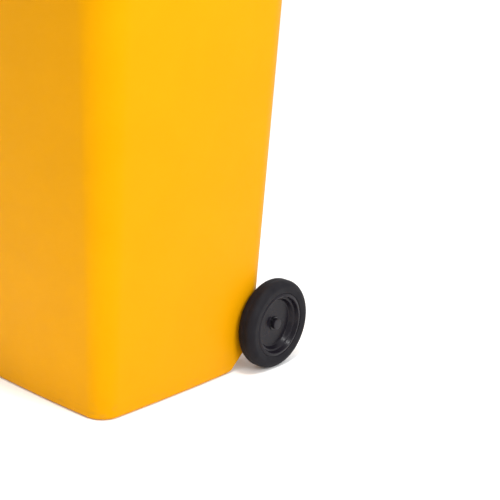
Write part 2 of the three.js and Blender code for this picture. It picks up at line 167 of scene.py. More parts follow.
# ------------------------------------------------------------------ materials
class Nodes:
    """A material's node tree, with short calls to add and link nodes."""

    def __init__(self, name):
        self.material = bpy.data.materials.new(name)
        self.material.use_nodes = True
        self.tree = self.material.node_tree
        self.shader = self.tree.nodes["Principled BSDF"]
        self.place = self.tree.nodes.new("ShaderNodeTexCoord").outputs["Object"]

    def link(self, out, into):
        self.tree.links.new(out, into)

    def feed(self, name, value):
        """Gives one of the shader's inputs a constant or a node's output."""
        socket = self.shader.inputs[name]
        if isinstance(value, (int, float, tuple)):
            socket.default_value = value
        else:
            self.link(value, socket)

    def noise(self, scale, detail=2, roughness=0.5, stretch=None):
        node = self.tree.nodes.new("ShaderNodeTexNoise")
        node.inputs["Scale"].default_value = scale
        node.inputs["Detail"].default_value = detail
        node.inputs["Roughness"].default_value = roughness
        place = self.place
        if stretch:
            mapping = self.tree.nodes.new("ShaderNodeMapping")
            mapping.inputs["Scale"].default_value = stretch
            self.link(place, mapping.inputs["Vector"])
            place = mapping.outputs["Vector"]
        self.link(place, node.inputs["Vector"])
        return node.outputs["Fac"]

    def ramp(self, value, low, high, at_low=0.0, at_high=1.0):
        """A value from low to high becomes a value from at_low to at_high."""
        node = self.tree.nodes.new("ShaderNodeMapRange")
        node.interpolation_type = "SMOOTHSTEP"
        limits = {"From Min": low, "From Max": high, "To Min": at_low, "To Max": at_high}
        for key, number in limits.items():
            node.inputs[key].default_value = number
        self.link(value, node.inputs["Value"])
        return node.outputs["Result"]

    def math(self, operation, a, b):
        node = self.tree.nodes.new("ShaderNodeMath")
        node.operation = operation
        for socket, value in zip(node.inputs, (a, b)):
            if isinstance(value, (int, float)):
                socket.default_value = value
            else:
                self.link(value, socket)
        return node.outputs["Value"]

    def mix(self, share, low, high):
        """Colour from low to high by share."""
        node = self.tree.nodes.new("ShaderNodeMix")
        node.data_type = "RGBA"
        self.link(share, node.inputs["Factor"])
        for key, value in (("A", low), ("B", high)):
            socket = [s for s in node.inputs if s.name == key and s.type == "RGBA"][0]
            if isinstance(value, (tuple, list)):
                socket.default_value = (*value, 1)
            else:
                self.link(value, socket)
        return [s for s in node.outputs if s.type == "RGBA"][0]

    def axis(self, letter):
        node = self.tree.nodes.new("ShaderNodeSeparateXYZ")
        self.link(self.place, node.inputs["Vector"])
        return node.outputs[letter]

    def bump(self, layers):
        """Stacked bumps: layers of (height, strength, distance)."""
        normal = None
        for height, strength, distance in layers:
            node = self.tree.nodes.new("ShaderNodeBump")
            node.inputs["Strength"].default_value = strength
            node.inputs["Distance"].default_value = distance
            self.link(height, node.inputs["Height"])
            if normal:
                self.link(normal, node.inputs["Normal"])
            normal = node.outputs["Normal"]
        self.link(normal, self.shader.inputs["Normal"])


def yellow_plastic(name, scuffed):
    """Dyed polyethylene from a satin mould: faint clouds and a fine grain, and scuffs near the ground."""
    nodes = Nodes(name)
    clouds = nodes.noise(7, detail=4, roughness=0.6)
    specks = nodes.noise(420, detail=3, roughness=0.7)
    base = nodes.mix(nodes.ramp(clouds, 0.3, 0.7), (0.608, 0.265, 0.0006), (0.624, 0.273, 0.0010))
    base = nodes.mix(nodes.ramp(specks, 0.62, 0.75, 0, 0.12), base, (0.50, 0.19, 0.002))
    roughness = nodes.ramp(nodes.noise(60, detail=5, roughness=0.65), 0.3, 0.7, 0.40, 0.52)
    if scuffed:
        low = nodes.ramp(nodes.axis("Z"), 0.0, 0.06, 1, 0)
        streaks = nodes.ramp(nodes.noise(38, detail=6, roughness=0.75, stretch=(1, 1, 2.4)), 0.5, 0.72)
        scuff = nodes.math("MULTIPLY", low, streaks)
        base = nodes.mix(nodes.math("MULTIPLY", scuff, 0.5), base, (0.46, 0.22, 0.03))
        roughness = nodes.math("ADD", roughness, nodes.math("MULTIPLY", scuff, 0.25))
    nodes.feed("Base Color", base)
    nodes.feed("Roughness", roughness)
    nodes.feed("Specular IOR Level", 0.08)
    nodes.feed("Specular Tint", (1, 0.6, 0.12, 1))
    grain = nodes.noise(900, detail=3, roughness=0.6)
    waves = nodes.noise(16, detail=2)
    nodes.bump([(waves, 0.25, 0.0012), (grain, 0.28, 0.00025)])
    return nodes.material


def dark_plastic(name, color, roughness, grain=700, gloss=0.2):
    """Injection-moulded plastic, a little paler where it has been rubbed."""
    nodes = Nodes(name)
    clouds = nodes.noise(26, detail=4, roughness=0.6)
    rubbed = tuple(min(1, c * 1.4 + 0.002) for c in color)
    base = nodes.mix(nodes.ramp(clouds, 0.35, 0.75), color, rubbed)
    nodes.feed("Base Color", base)
    nodes.feed("Specular IOR Level", gloss)
    fine = nodes.noise(180, detail=5, roughness=0.7)
    nodes.feed("Roughness", nodes.ramp(fine, 0.3, 0.7, roughness - 0.03, roughness + 0.05))
    nodes.bump([(nodes.noise(40, detail=2), 0.15, 0.0004), (nodes.noise(grain, detail=3), 0.06, 0.0002)])
    return nodes.material


def tyre_rubber(name):
    """Solid rubber: dull, finely pitted, with a little dust in the pits."""
    nodes = Nodes(name)
    clouds = nodes.noise(30, detail=5, roughness=0.65)
    pits = nodes.noise(650, detail=4, roughness=0.7)
    base = nodes.mix(nodes.ramp(clouds, 0.35, 0.7), (0.0062, 0.0056, 0.0080), (0.0100, 0.0092, 0.0118))
    base = nodes.mix(nodes.ramp(pits, 0.58, 0.8, 0, 0.4), base, (0.034, 0.032, 0.03))
    nodes.feed("Base Color", base)
    nodes.feed("Roughness", nodes.ramp(pits, 0.3, 0.7, 0.52, 0.66))
    nodes.feed("Specular IOR Level", 0.12)
    nodes.bump([(nodes.noise(55, detail=3), 0.25, 0.0005), (pits, 0.25, 0.0003)])
    return nodes.material


def metal(name, color, roughness, blotch):
    """Plated steel with drawn streaks along the axle and a faint crystal blotch."""
    nodes = Nodes(name)
    streaks = nodes.noise(500, detail=4, stretch=(0.04, 1, 1))
    crystals = nodes.noise(120, detail=3, roughness=0.7)
    darker = tuple(c * blotch for c in color)
    base = nodes.mix(nodes.ramp(crystals, 0.35, 0.7), color, darker)
    nodes.feed("Base Color", base)
    nodes.feed("Metallic", 1.0)
    nodes.feed("Roughness", nodes.ramp(streaks, 0.3, 0.7, roughness - 0.05, roughness + 0.12))
    nodes.bump([(streaks, 0.12, 0.0001), (crystals, 0.08, 0.0001)])
    return nodes.material


def floor_material():
    """Nearly white and matt."""
    nodes = Nodes("pale_floor")
    shade = nodes.mix(nodes.ramp(nodes.noise(3, detail=3), 0.3, 0.7), (0.9, 0.9, 0.9), (0.915, 0.915, 0.915))
    nodes.feed("Base Color", shade)
    nodes.feed("Roughness", 0.9)
    nodes.feed("Specular IOR Level", 0.1)
    return nodes.material


body_yellow = yellow_plastic("yellow_body", scuffed=True)
lid_yellow = yellow_plastic("yellow_lid", scuffed=False)
wheel_black = dark_plastic("wheel_black", (0.0062, 0.0050, 0.0078), 0.21, gloss=0.15)
fitting_black = dark_plastic("fitting_black", (0.0068, 0.0056, 0.0082), 0.30)
plug_grey = dark_plastic("plug_grey", (0.09, 0.095, 0.1), 0.5)
tyre_black = tyre_rubber("tyre_black")
buffer_black = dark_plastic("buffer_black", (0.022, 0.022, 0.022), 0.62, grain=500)
axle_steel = metal("zinc_steel", (0.52, 0.53, 0.55), 0.34, 0.8)
washer_steel = metal("black_steel", (0.07, 0.07, 0.075), 0.38, 0.7)


# ------------------------------------------------------------------ mesh helpers
def new_piece(name, vertices, faces, material, body):
    """A smooth-shaded mesh that rides on a CAD body."""
    mesh = bpy.data.meshes.new(name)
    mesh.from_pydata([tuple(v) for v in vertices], [], [tuple(f) for f in faces])
    mesh.validate()
    bm = bmesh.new()
    bm.from_mesh(mesh)
    bmesh.ops.recalc_face_normals(bm, faces=bm.faces)
    bm.to_mesh(mesh)
    bm.free()
    mesh.shade_smooth()
    mesh.set_sharp_from_angle(angle=SMOOTH_ANGLE)
    mesh.materials.append(material)
    piece = bpy.data.objects.new(name, mesh)
    bpy.context.scene.collection.objects.link(piece)
    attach(piece, body)
    return piece


def rounded(points, closed=True, step=math.radians(15)):
    """A polyline's corners as arcs. Each point is (x, y) or (x, y, radius)."""
    count = len(points)
    out = []
    for i, point in enumerate(points):
        here = np.array(point[:2], float)
        radius = point[2] if len(point) > 2 else 0
        if radius <= 0 or (not closed and i in (0, count - 1)):
            out.append(here)
            continue
        before = np.array(points[i - 1][:2], float) - here
        after = np.array(points[(i + 1) % count][:2], float) - here
        before /= np.linalg.norm(before)
        after /= np.linalg.norm(after)
        half = math.acos(np.clip(before @ after, -1, 1)) / 2
        centre = here + (before + after) / np.linalg.norm(before + after) * radius / math.sin(half)
        start = here + before * radius / math.tan(half) - centre
        end = here + after * radius / math.tan(half) - centre
        turn = math.atan2(start[0] * end[1] - start[1] * end[0], start @ end)
        steps = max(2, math.ceil(abs(turn) / step))
        for k in range(steps + 1):
            a = turn * k / steps
            spin = np.array([[math.cos(a), -math.sin(a)], [math.sin(a), math.cos(a)]])
            out.append(centre + spin @ start)
    return out


def grid_faces(rows, columns, wrap_rows=False):
    """Quads between rows that are closed rings; with wrap_rows the last row joins the first."""
    faces = []
    for r in range(rows if wrap_rows else rows - 1):
        for c in range(columns):
            a, b = r * columns + c, r * columns + (c + 1) % columns
            shift = ((r + 1) % rows - r) * columns
            faces.append((a, b, b + shift, a + shift))
    return faces


def turned_mesh(profile, segments):
    """A profile of (radius, distance) turned about X. It is a closed one unless it starts on the axis."""
    solid = profile[0][0] < 1e-6
    inner = profile[1:-1] if solid else profile
    vertices = []
    for r, a in inner:
        for k in range(segments):
            t = 2 * math.pi * k / segments
            vertices.append((a, r * math.cos(t), r * math.sin(t)))
    faces = grid_faces(len(inner), segments, wrap_rows=not solid)
    if solid:
        for (_, a), row in ((profile[0], 0), (profile[-1], len(inner) - 1)):
            vertices.append((a, 0, 0))
            tip = len(vertices) - 1
            first = row * segments
            faces += [(first + k, first + (k + 1) % segments, tip) for k in range(segments)]
    return vertices, faces


def tube_profile(inner, outer, x0, x1, inner_edge, outer_edge):
    """A tube's section, with rounded edges at its bore and at its outside."""
    corners = [(inner, x0, inner_edge), (outer, x0, outer_edge), (outer, x1, outer_edge)]
    return rounded([*corners, (inner, x1, inner_edge)])


def moved(vertices, matrix):
    """Vertices put in place by a matrix."""
    return [matrix @ Vector(v) for v in vertices]


def joined(parts):
    """Several (vertices, faces) as one."""
    vertices, faces = [], []
    for vs, fs in parts:
        faces += [tuple(i + len(vertices) for i in f) for f in fs]
        vertices += list(vs)
    return vertices, faces


def bevelled_plate(face, x0, x1, bevel, pocket=None):
    """A plate from x0 to x1 whose face is an outline of (y, z) points, with bevelled edges.

    pocket is the (margin, depth) of a recess in both faces.
    """
    bm = bmesh.new()
    near = [bm.verts.new((x0, y, z)) for y, z in face]
    far = [bm.verts.new((x1, y, z)) for y, z in face]
    faces = [bm.faces.new(near), bm.faces.new(far[::-1])]
    count = len(face)
    for i in range(count):
        j = (i + 1) % count
        bm.faces.new((near[i], far[i], far[j], near[j]))
    bmesh.ops.recalc_face_normals(bm, faces=bm.faces)
    if pocket:
        margin, depth = pocket
        draft = 0.0012
        for side in faces:
            bmesh.ops.inset_region(bm, faces=[side], thickness=margin, depth=0)
            bmesh.ops.inset_region(bm, faces=[side], thickness=draft, depth=-depth)
    bm.normal_update()
    least_angle = math.radians(35)
    edges = [e for e in bm.edges if len(e.link_faces) == 2 and e.calc_face_angle() > least_angle]
    bmesh.ops.bevel(
        bm, geom=edges, offset=bevel, segments=3, profile=0.5, affect="EDGES", clamp_overlap=True
    )
    bm.verts.index_update()
    vertices = [v.co.copy() for v in bm.verts]
    polygons = [tuple(v.index for v in f.verts) for f in bm.faces]
    bm.free()
    return vertices, polygons


# ------------------------------------------------------------------ rings of the tub, the rim and the lid
def outline(half_width, front, rear, radius):
    """A round-cornered rectangle with walls that stand out a little in the middle, counter-clockwise."""
    points = []
    corners = (
        (half_width - radius, front + radius, -90),
        (half_width - radius, rear - radius, 0),
        (-half_width + radius, rear - radius, 90),
        (-half_width + radius, front + radius, 180),
    )
    for n, (x, y, start) in enumerate(corners):
        for k in range(CORNER_STEPS + 1):
            a = math.radians(start + 90 * k / CORNER_STEPS)
            points.append((x + radius * math.cos(a), y + radius * math.sin(a)))
        next_x, next_y, _ = corners[(n + 1) % 4]
        facing = math.radians(start + 90)
        out = np.array((math.cos(facing), math.sin(facing)))
        begin = np.array(points[-1])
        end = np.array((next_x, next_y)) + radius * out
        for k in range(1, WALL_STEPS):
            share = k / WALL_STEPS
            bow = BOW * (1 - (2 * share - 1) ** 2)
            points.append(tuple(begin + (end - begin) * share + out * bow))
    return np.array(points)


def soft_min(a, b, reach):
    """The smaller of a and b, rounded where they are within reach of each other."""
    h = np.clip(0.5 + 0.5 * (b - a) / reach, 0, 1)
    return b + (a - b) * h - reach * h * (1 - h)


def rear_limit(z, inset):
    """How far back the low tub reaches at a height: the slope, the recess, then out to the rear wall."""
    angle = math.atan(SLOPE_RISE)
    slope = SLOPE_START - inset * math.sin(angle) + (z - inset * math.cos(angle)) / SLOPE_RISE
    recess = RECESS_Y - inset
    leave = RECESS_Y + (z - RECESS_TOP - inset * math.hypot(1, EXIT_RISE)) / EXIT_RISE
    low = soft_min(slope, recess, reach=0.012)
    return -soft_min(-low, -leave, reach=0.010)


def tub_ring(z, inset=0.0):
    """The tub's outline at a height, as points in space."""
    radius = FOOT_RADIUS + (TOP_RADIUS - FOOT_RADIUS) * z / TUB_TOP - inset
    least_radius = 0.006
    points = outline(
        TUB_HALF_WIDTH + SIDE_TAPER * z - inset,
        TUB_FRONT - FRONT_TAPER * z + inset,
        TUB_REAR + REAR_TAPER * z - inset,
        max(radius, least_radius),
    )
    if z < RECESS_END:
        points[:, 1] = soft_min(points[:, 1], rear_limit(z, inset), reach=0.009)
    return np.column_stack([points, np.full(len(points), z)])


def edge_ring(half_width, front, rear, radius, z, inset):
    """A ring of the rim or the lid, inset from its edge. Its corners keep a radius of at least 36 mm."""
    points = outline(half_width - inset, front + inset, rear - inset, max(radius - inset, 0.036))
    return np.column_stack([points, np.full(len(points), z)])


def rim_ring(z, inset=0.0):
    """The rim's outline at a height. Its lower edge drops along the front."""
    ring = edge_ring(RIM_HALF_WIDTH, RIM_FRONT, RIM_REAR, RIM_RADIUS, z, inset)
    drop_from = 0.990
    drop_end, drop_length = RIM_FRONT + 0.095, 0.035
    if z < drop_from:
        front = np.clip((drop_end - ring[:, 1]) / drop_length, 0, 1)
        front = front * front * (3 - 2 * front)
        ring[:, 2] -= (LOW_SIDE - LOW_FRONT) * front * (drop_from - z) / (drop_from - LOW_SIDE)
    return ring


def lid_ring(z, inset):
    """The lid's outline at a height."""
    return edge_ring(LID_HALF_WIDTH, LID_FRONT, LID_REAR, LID_RADIUS, z, inset)


def flat_cap(vertices, faces, first, z):
    """Closes the ring that starts at vertex first with smaller and smaller rings round a middle point."""
    ring = np.array(vertices[first : first + COLUMNS])
    middle = ring.mean(axis=0)
    last = first
    for share in (0.8, 0.6, 0.4, 0.2):
        start = len(vertices)
        for p in ring:
            q = middle + (p - middle) * share
            vertices.append((q[0], q[1], z))
        for c in range(COLUMNS):
            d = (c + 1) % COLUMNS
            faces.append((last + c, last + d, start + d, start + c))
        last = start
    vertices.append((middle[0], middle[1], z))
    tip = len(vertices) - 1
    faces += [(last + c, last + (c + 1) % COLUMNS, tip) for c in range(COLUMNS)]


# ------------------------------------------------------------------ tub and rim
def tub_mesh():
    """One closed skin: underside, foot, outer wall, rim, inner wall and floor.

    Profiles are (distance out from the outer wall, height).
    """
    reach = 0.015  # a nominal distance from the wall to the rim's edge, only to lay out the profile
    head_low = 0.980
    head = rounded(
        [
            (0, head_low),
            (0, TUB_TOP - FLANGE, 0.003),
            (reach - SKIRT, TUB_TOP - FLANGE, 0.0025),
            (reach - SKIRT, LOW_SIDE, 0.0014),
            (reach, LOW_SIDE, 0.0018),
            (reach, TUB_TOP, 0.0045),
            (-WALL, TUB_TOP, 0.003),
            (-WALL, head_low),
        ],
        closed=False,
    )
    pocket_edge = [
        (FOOT_RING + 0.0025, FOOT_POCKET),
        (FOOT_RING, 0.0025),
        (FOOT_RING - 0.0012, 0.0008),
        (FOOT_RING - 0.003, 0),
        (0.02, 0),
    ]
    rings = [tub_ring(z, inset) for inset, z in pocket_edge]
    foot = rounded([(-0.05, 0), (0, 0, FOOT_FILLET), (0, 0.02)], closed=False, step=math.radians(11))
    rings += [tub_ring(z, -s) for s, z in foot[1:-1]]
    close_heights = [0.012 + 0.004 * k for k in range(54)]
    wall_heights = close_heights + [0.245 + 0.035 * k for k in range(21)]
    rings += [tub_ring(z) for z in wall_heights]
    for s, z in head:
        rings.append(tub_ring(z, -s) if s < reach / 3 else rim_ring(z, reach - s))
    rings += [tub_ring(z, WALL) for z in reversed([z for z in wall_heights if z > 2 * FLOOR])]
    inner = rounded([(-WALL, 0.03), (-WALL, FLOOR, 0.008), (-0.04, FLOOR)], closed=False)
    rings += [tub_ring(z, -s) for s, z in inner[1:]]
    vertices = [tuple(p) for ring in rings for p in ring]
    faces = grid_faces(len(rings), COLUMNS)
    flat_cap(vertices, faces, 0, FOOT_POCKET)
    flat_cap(vertices, faces, (len(rings) - 1) * COLUMNS, FLOOR)
    return vertices, faces


def ring_point(ring, axis, value, far):
    """The ring's point nearest to a value along axis 0 (x) or 1 (y), on its far (+1) or near (-1) side."""
    other = 1 - axis
    side = [p for p in ring if far * (p[other] - ring[:, other].mean()) > 0]
    return min(side, key=lambda p: abs(p[axis] - value))


def comb_rib(x):
    """A tapered rib of the comb between the wall and the lip, with a scooped lower edge."""
    wall_y = ring_point(tub_ring(0.96), 0, x, -1)[1] + SUNK
    lip_y = ring_point(rim_ring(0.999), 0, x, -1)[1] + SUNK
    edge = rounded(
        [
            (lip_y, TUB_TOP - SUNK),
            (lip_y, COMB_LOW),
            (lip_y + 0.006, COMB_LOW, 0.004),
            (wall_y - 0.006, COMB_LOW + 0.010, 0.012),
            (wall_y, COMB_LOW - 0.002),
            (wall_y, TUB_TOP - SUNK),
        ]
    )
    return bevelled_plate([tuple(p) for p in edge], x - RIB / 2, x + RIB / 2, RIB_BEVEL)


def side_rib(y, sign):
    """A plain rib between the wall and the rim's skirt, at the right (+1) or the left (-1)."""
    wall_x = abs(ring_point(tub_ring(0.98), 1, y, sign)[0]) - SUNK
    lip_x = abs(ring_point(rim_ring(0.999), 1, y, sign)[0]) - SUNK
    x0, x1 = sorted((sign * wall_x, sign * lip_x))
    y0, y1 = y - RIB / 2, y + RIB / 2
    z0, z1 = LOW_SIDE + 0.005, TUB_TOP - SUNK
    return bevelled_plate([(y0, z0), (y1, z0), (y1, z1), (y0, z1)], x0, x1, RIB_BEVEL)


def arc_points(y, z, radius, start, end):
    """Points on an arc about (y, z), one every ten degrees."""
    angles = [math.radians(a) for a in range(start, end + 1, 10)]
    return [(y + radius * math.cos(a), z + radius * math.sin(a)) for a in angles]


def rear_wall(x, z):
    """How far back the tub's outer face is at x and z, round the corner too."""
    ring = tub_ring(z)
    rear = ring[ring[:, 1] > ring[:, 1].mean()]
    rear = rear[np.argsort(rear[:, 0])]
    return float(np.interp(x, rear[:, 0], rear[:, 1]))


def arm_outline(root):
    """Side view of an arm of the rear frame, from its root at the wall to the eye round the hinge axis."""
    eye = arc_points(HINGE_Y, HINGE_Z, EYE_RADIUS, -120, 90)
    under = [(root, ARM_TOP), (root, ARM_LOW), (HINGE_Y - 0.050, ARM_LOW + 0.030, 0.060), eye[0]]
    points = [tuple(p) for p in rounded(under, closed=False)[:-1]] + eye
    back = rounded(
        [
            points[-1],
            (HINGE_Y - EYE_RADIUS, HINGE_Z + EYE_RADIUS, 0.012),
            (HINGE_Y - 0.036, ARM_TOP, 0.012),
            (root + 0.006, ARM_TOP),
        ],
        closed=False,
    )
    points += [tuple(p) for p in back[1:-1]]
    return points


def arm_mesh(middle, sign):
    """An arm with a recessed web. Its root ends half way into the wall, all along the wall's curve."""
    half = ARM_THICKNESS / 2
    root = rear_wall(middle + half, ARM_TOP) - WALL / 2
    x0, x1 = sign * middle - half, sign * middle + half
    vertices, faces = bevelled_plate(arm_outline(root), x0, x1, ARM_BEVEL, pocket=(0.006, 0.0035))
    for v in vertices:
        v.y = max(v.y, rear_wall(v.x, v.z) - WALL / 2)
    return vertices, faces


def eye_collar(middle):
    """A raised collar round an arm's eye. The outer arms have no bore, so theirs is a full disc."""
    stand = ARM_THICKNESS / 2 + 0.0004
    x0, x1 = middle - stand, middle + stand
    radius = EYE_RADIUS - 0.0032
    edge = [(radius, x0, 0.0012), (radius, x1, 0.0012)]
    if abs(middle) == ARM_MIDDLES[0]:
        return turned_mesh(rounded([(0, x0), *edge, (0, x1)], closed=False), TURN_COARSE)
    pin_hole = 0.0063
    return turned_mesh(rounded([(pin_hole, x0, 0.0008), *edge, (pin_hole, x1, 0.0008)]), TURN_COARSE)


def rear_frame_parts():
    """Arms with a recessed web, collars round the hinge axis, and the two grips."""
    parts = []
    for sign in (1, -1):
        for middle in ARM_MIDDLES:
            parts.append(arm_mesh(middle, sign))
            parts.append(at_hinge(eye_collar(sign * middle)))
        parts.append(at_hinge(turned_mesh(grip_profile(sign), TURN_COARSE)))
    return parts


def at_hinge(mesh):
    """A mesh about the X axis, moved to the hinge axis."""
    vertices, faces = mesh
    return moved(vertices, Matrix.Translation((0, HINGE_Y, HINGE_Z))), faces


def grip_profile(sign):
    """A round bar between two arms, with a flare where it meets each of them."""
    sunk = 0.003
    x0 = ARM_MIDDLES[1] + ARM_THICKNESS / 2 - sunk
    x1 = ARM_MIDDLES[0] - ARM_THICKNESS / 2 + sunk
    flare = 0.003
    flare_length = 0.008
    points = []
    steps = 60
    for k in range(steps + 1):
        x = x0 + (x1 - x0) * k / steps
        from_arm = min(x - x0, x1 - x) - sunk
        radius = GRIP_RADIUS - 0.0004
        if from_arm < flare_length:
            radius += flare * (1 - max(from_arm, 0) / flare_length) ** 2
        points.append((radius, x))
    profile = [(0, x0), *points, (0, x1)]
    return [(r, sign * x) for r, x in profile]


def lug_parts():
    """Lugs in the recess that hold the axle: a web and a round boss."""
    parts = []
    root = RECESS_Y - 0.0035
    foot = 0.066
    shape = [(root, foot), *arc_points(AXLE_Y, AXLE_Z, LUG_RADIUS, -130, 110)]
    shape += [(RECESS_Y + 0.006, RECESS_TOP), (root, RECESS_TOP + 0.004)]
    for low, high in LUGS:
        for sign in (1, -1):
            x0, x1 = sorted((sign * low, sign * high))
            parts.append(bevelled_plate(shape, x0, x1, ARM_BEVEL))
            ends = (x0 - 0.0002, x1 + 0.0002)
            boss = tube_profile(BORE * MM, BOSS_RADIUS, *ends, 0.001, 0.001)
            vertices, faces = turned_mesh(boss, TURN_COARSE)
            parts.append((moved(vertices, Matrix.Translation((0, AXLE_Y, AXLE_Z))), faces))
    return parts


def build_body():
    """The tub with its rim, ribs, rear frame and axle lugs, as one moulding."""
    parts = [tub_mesh()]
    middle = (COMB_RIBS - 1) / 2
    parts += [comb_rib((n - middle) * COMB_PITCH) for n in range(COMB_RIBS)]
    parts += [side_rib(y, sign) for y in SIDE_RIBS for sign in (1, -1)]
    parts += rear_frame_parts() + lug_parts()
    vertices, faces = joined(parts)
    piece = new_piece("tub", vertices, faces, body_yellow, "body")
    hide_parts("bin_body")


# ------------------------------------------------------------------ lid
# The lid's upper face as (distance in from its edge, height above the border): border, shoulder and dome.
LID_PROFILE = (
    (0.0, 0.0),
    (0.030, 0.0005),
    (0.036, 0.006),
    (0.046, 0.020),
    (0.060, 0.0305),
    (0.090, 0.042),
    (0.140, 0.0545),
    (0.190, 0.0605),
    (0.240, 0.064),
)


def lid_top(inset):
    """Height of the lid's upper face at a distance in from its edge."""
    insets, rises = zip(*LID_PROFILE)
    return LID_BORDER + float(np.interp(inset, insets, rises))


def lid_mesh():
    """A closed shell: the lip and the upper face, then the under face, joined along the lip's inner edge.

    Profiles are (distance in from the edge, height).
    """
    lip_end = LID_LOW + 0.004
    ceiling = LID_BORDER - LID_THICKNESS
    lip = rounded(
        [(LID_THICKNESS, lip_end), (LID_THICKNESS, LID_LOW, 0.0012), (0, LID_LOW, 0.0017), (0, lip_end)],
        closed=False,
    )
    outer = rounded(
        [(0, lip_end), (0, LID_LOW + 0.012), (0, LID_BORDER, 0.005), (0.012, LID_BORDER)], closed=False
    )
    insets = [0.020, 0.026, *np.linspace(0.029, 0.066, 20), *np.linspace(0.072, 0.238, 16)]
    tops = smooth([lid_top(i) for i in insets], 2)
    rings = [lid_ring(z, i) for i, z in (*lip, *outer[1:], *zip(insets, tops))]
    vertices = [tuple(p) for ring in rings for p in ring]
    faces = grid_faces(len(rings), COLUMNS)
    flat_cap(vertices, faces, (len(rings) - 1) * COLUMNS, tops[-1])

    under = [lid_ring(z - LID_THICKNESS, i + 0.0015) for i, z in reversed(list(zip(insets, tops)))]
    corner = rounded(
        [(0.014, ceiling), (LID_THICKNESS, ceiling, 0.002), (LID_THICKNESS, LID_LOW + 0.006)], closed=False
    )
    under += [lid_ring(z, i) for i, z in corner]
    first = len(vertices)
    vertices += [tuple(p) for ring in under for p in ring]
    faces += [tuple(i + first for i in f) for f in grid_faces(len(under), COLUMNS)]
    flat_cap(vertices, faces, first, tops[-1] - LID_THICKNESS)
    last = first + (len(under) - 1) * COLUMNS
    for c in range(COLUMNS):
        d = (c + 1) % COLUMNS
        faces.append((last + c, last + d, d, c))
    return vertices, faces


def smooth(values, rounds):
    """Values evened out with their neighbours; the first and the last stay."""
    values = np.array(values, float)
    for _ in range(rounds):
        values[1:-1] = (values[:-2] + 2 * values[1:-1] + values[2:]) / 4
    return values


def lid_arm_outline():
    """Side view of a hinge arm of the lid, from its root on the border to the knuckle round the pin."""
    r = KNUCKLE_RADIUS
    root = LID_REAR - 0.024
    top = LID_BORDER + 0.001
    under = rounded(
        [
            (root, LID_BORDER - 0.003),
            (LID_REAR + 0.003, LID_BORDER - 0.007, 0.010),
            (HINGE_Y - 2 * r, HINGE_Z + 1.5 * r, 0.030),
            (HINGE_Y - r, HINGE_Z),
        ],
        closed=False,
    )
    points = [tuple(p) for p in under[:-1]] + arc_points(HINGE_Y, HINGE_Z, r, 180, 420)
    over = rounded([points[-1], (HINGE_Y - 0.012, top, 0.020), (root, top)], closed=False)
    return points + [tuple(p) for p in over[1:]]


def front_lip():
    """Finger lip along the middle of the front edge, rounded off at both ends."""
    root = LID_FRONT + 0.0005
    top = LID_BORDER - 0.002
    thickness = 0.004
    low = top - 0.014
    section = rounded(
        [
            (root, top),
            (root, top - thickness),
            (LIP_TIP + thickness, top - thickness, 0.001),
            (LIP_TIP + thickness, low, 0.0012),
            (LIP_TIP, low, 0.0012),
            (LIP_TIP, top, 0.004),
        ]
    )
    stations = 40
    end_radius = 0.016
    least_reach = 0.12
    rows = []
    for k in range(stations + 1):
        x = -LIP_HALF + 2 * LIP_HALF * k / stations
        from_end = min(max((LIP_HALF - abs(x)) / end_radius, 0), 1)
        reach = max(math.sqrt(1 - (1 - from_end) ** 2), least_reach)
        rows.append([(x, root + (y - root) * reach, z) for y, z in section])
    count = len(section)
    vertices = [p for row in rows for p in row]
    faces = grid_faces(len(rows), count)
    ends = [tuple(range(count)), tuple(range(len(vertices) - count, len(vertices)))]
    return vertices, faces + ends


def build_lid():
    """The lid with its finger lip and its two hinge arms, as one moulding."""
    parts = [lid_mesh(), front_lip()]
    for middle in (KNUCKLE_MIDDLE, -KNUCKLE_MIDDLE):
        ends = (middle - KNUCKLE_HALF, middle + KNUCKLE_HALF)
        parts.append(bevelled_plate(lid_arm_outline(), *ends, 0.0012))
    vertices, faces = joined(parts)
    piece = new_piece("lid_shell", vertices, faces, lid_yellow, "lid")
    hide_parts("lid")


# ------------------------------------------------------------------ wheels
def mirrored_place(sign, x, y, z):
    """A place for what is made about the X axis and faces out, at the right (+1) or the left (-1)."""
    turn = Matrix.Identity(4) if sign > 0 else Matrix.Rotation(math.pi, 4, "Z")
    return Matrix.Translation((sign * x, y, z)) @ turn


def in_mm(points):
    """Profile numbers in millimetres as metres."""
    return [tuple(v * MM for v in p) for p in points]


# Profiles of the running gear are (radius, distance out from the wheel's outer face, corner radius) in mm.
def tyre_profile():
    """Solid tyre, keyed over the disc's ridge, with a parting groove round the tread's middle."""
    w = WHEEL_WIDTH / MM
    seat, key, tread, groove = 72.3, 76.0, 100, 99.4
    corners = [
        (seat, -1.9, 1.2),
        (seat, -14.2),
        (key, -14.2),
        (key, -29.8),
        (seat, -29.8),
        (seat, -w + 0.6, 1.2),
        (77, -w + 0.2, 2),
        (84, -w, 2),
        (tread, -w, 15.5),
        (tread, -w / 2 - 0.9, 0.3),
        (groove, -w / 2 - 0.5, 0.2),
        (groove, -w / 2 + 0.5, 0.2),
        (tread, -w / 2 + 0.9, 0.3),
        (tread, 0, 15.5),
        (84, 0, 4),
        (77, -1.0, 3),
    ]
    return rounded(in_mm(corners), step=math.radians(7))


